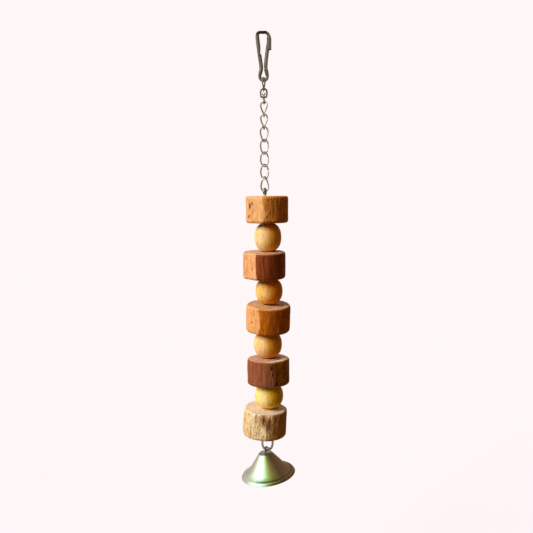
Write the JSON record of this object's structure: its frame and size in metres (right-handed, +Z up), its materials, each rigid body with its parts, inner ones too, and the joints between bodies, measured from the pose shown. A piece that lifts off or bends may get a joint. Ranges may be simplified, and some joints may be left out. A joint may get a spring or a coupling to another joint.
{
  "type": "hanging wooden bead bird toy",
  "caption": "Hanging cage toy: spring clip, swivel and twisted chain over branch slices and round beads on a stiff wire, with a small bell below.",
  "frame": {"origin": "underside of the top of the clip hook, where the cage wire bears", "axes": "+Z up along the hanging toy; +X to the right seen from the front, on the gate side of the clip; +Y to the back"},
  "size_m": [0.0379, 0.0384, 0.3069],
  "materials": {
    "clip_nickel": "dull nickel plate with drawn streaks",
    "chain_steel": "bright drawn wire, slightly dulled",
    "branch_1": "half peeled bark, sanded",
    "branch_2": "dark red bark, one side peeled",
    "branch_3": "peeled sapwood with bark traces",
    "branch_4": "dark red bark",
    "branch_5": "ridged bark over golden sapwood",
    "bead_wood": "satin turned softwood",
    "bell_zinc": "yellow-green zinc plate",
    "bell_wire": "dull plated wire"
  },
  "bodies": {
    "clip": {"clip_frame": "clip_nickel"},
    "clip_gate": {"clip_gate": "clip_nickel"},
    "top_link": {"top_link": "chain_steel"},
    "swivel_yoke": {"swivel_yoke": "clip_nickel"},
    "swivel_eye": {"swivel_eye": "chain_steel"},
    "chain_link_1": {"chain_link_1": "chain_steel"},
    "chain_link_2": {"chain_link_2": "chain_steel"},
    "chain_link_3": {"chain_link_3": "chain_steel"},
    "chain_link_4": {"chain_link_4": "chain_steel"},
    "chain_link_5": {"chain_link_5": "chain_steel"},
    "chain_link_6": {"chain_link_6": "chain_steel"},
    "chain_link_7": {"chain_link_7": "chain_steel"},
    "core": {"core_wire": "chain_steel"},
    "block_1": {"block_1": "branch_1"},
    "block_2": {"block_2": "branch_2"},
    "block_3": {"block_3": "branch_3"},
    "block_4": {"block_4": "branch_4"},
    "block_5": {"block_5": "branch_5"},
    "bead_1": {"bead_1": "bead_wood"},
    "bead_2": {"bead_2": "bead_wood"},
    "bead_3": {"bead_3": "bead_wood"},
    "bead_4": {"bead_4": "bead_wood"},
    "bell": {"bell": "bell_zinc", "bell_hanger": "bell_wire"},
    "clapper": {"clapper_rod": "bell_wire", "clapper_ball": "bell_wire"}
  },
  "joints": [
    {"name": "gate_spring", "type": "hinge", "parent": "clip", "child": "clip_gate", "pos_m": [0.0015, 0, -0.0223], "axis": [0, -1, 0], "range_deg": [0, 12], "stiffness_Nm_per_rad": 0.2},
    {"name": "top_link_swing", "type": "hinge", "parent": "clip", "child": "top_link", "pos_m": [0, 0, -0.03], "axis": [1, 0, 0], "range_deg": [-35, 35]},
    {"name": "yoke_swing", "type": "hinge", "parent": "top_link", "child": "swivel_yoke", "pos_m": [0, 0, -0.0367], "axis": [0, 1, 0], "range_deg": [-45, 45]},
    {"name": "swivel_turn", "type": "hinge", "parent": "swivel_yoke", "child": "swivel_eye", "pos_m": [0, 0, -0.0408], "axis": [0, 0, 1], "continuous": true},
    {"name": "chain_link_1_swing", "type": "hinge", "parent": "swivel_eye", "child": "chain_link_1", "pos_m": [0, 0, -0.045], "axis": [-0.4226, -0.9063, 0], "range_deg": [-45, 45]},
    {"name": "chain_link_2_swing", "type": "hinge", "parent": "chain_link_1", "child": "chain_link_2", "pos_m": [0, 0, -0.05195], "axis": [-0.9703, 0.2419, 0], "range_deg": [-45, 45]},
    {"name": "chain_link_3_swing", "type": "hinge", "parent": "chain_link_2", "child": "chain_link_3", "pos_m": [0, 0, -0.06145], "axis": [0.0698, -0.9976, 0], "range_deg": [-45, 45]},
    {"name": "chain_link_4_swing", "type": "hinge", "parent": "chain_link_3", "child": "chain_link_4", "pos_m": [0, 0, -0.06835], "axis": [0.9135, 0.4067, 0], "range_deg": [-45, 45]},
    {"name": "chain_link_5_swing", "type": "hinge", "parent": "chain_link_4", "child": "chain_link_5", "pos_m": [0, 0, -0.07785], "axis": [-0.6691, 0.7431, 0], "range_deg": [-45, 45]},
    {"name": "chain_link_6_swing", "type": "hinge", "parent": "chain_link_5", "child": "chain_link_6", "pos_m": [0, 0, -0.08475], "axis": [-0.7547, -0.6561, 0], "range_deg": [-45, 45]},
    {"name": "chain_link_7_swing", "type": "hinge", "parent": "chain_link_6", "child": "chain_link_7", "pos_m": [0, 0, -0.09425], "axis": [0.8572, -0.515, 0], "range_deg": [-45, 45]},
    {"name": "core_swing", "type": "hinge", "parent": "chain_link_7", "child": "core", "pos_m": [0, 0, -0.1009], "axis": [0.342, 0.9397, 0], "range_deg": [-45, 45]},
    {"name": "block_1_spin", "type": "hinge", "parent": "core", "child": "block_1", "pos_m": [0, 0, -0.133], "axis": [0, 0, 1], "continuous": true},
    {"name": "block_2_spin", "type": "hinge", "parent": "core", "child": "block_2", "pos_m": [0, 0, -0.171], "axis": [0, 0, 1], "continuous": true},
    {"name": "block_3_spin", "type": "hinge", "parent": "core", "child": "block_3", "pos_m": [0, 0, -0.209], "axis": [0, 0, 1], "continuous": true},
    {"name": "block_4_spin", "type": "hinge", "parent": "core", "child": "block_4", "pos_m": [0, 0, -0.247], "axis": [0, 0, 1], "continuous": true},
    {"name": "block_5_spin", "type": "hinge", "parent": "core", "child": "block_5", "pos_m": [0, 0, -0.285], "axis": [0, 0, 1], "continuous": true},
    {"name": "bead_1_spin", "type": "hinge", "parent": "core", "child": "bead_1", "pos_m": [0, 0, -0.152], "axis": [0, 0, 1], "continuous": true},
    {"name": "bead_2_spin", "type": "hinge", "parent": "core", "child": "bead_2", "pos_m": [0, 0, -0.19], "axis": [0, 0, 1], "continuous": true},
    {"name": "bead_3_spin", "type": "hinge", "parent": "core", "child": "bead_3", "pos_m": [0, 0, -0.228], "axis": [0, 0, 1], "continuous": true},
    {"name": "bead_4_spin", "type": "hinge", "parent": "core", "child": "bead_4", "pos_m": [0, 0, -0.266], "axis": [0, 0, 1], "continuous": true},
    {"name": "bell_swing", "type": "hinge", "parent": "core", "child": "bell", "pos_m": [0, 0, -0.28508], "axis": [-1, 0, 0], "range_deg": [-50, 50]},
    {"name": "clapper_swing", "type": "hinge", "parent": "bell", "child": "clapper", "pos_m": [0.00067, 0, -0.29014], "axis": [0.6104, -0.788, 0.0804], "range_deg": [-35, 35]}
  ]
}
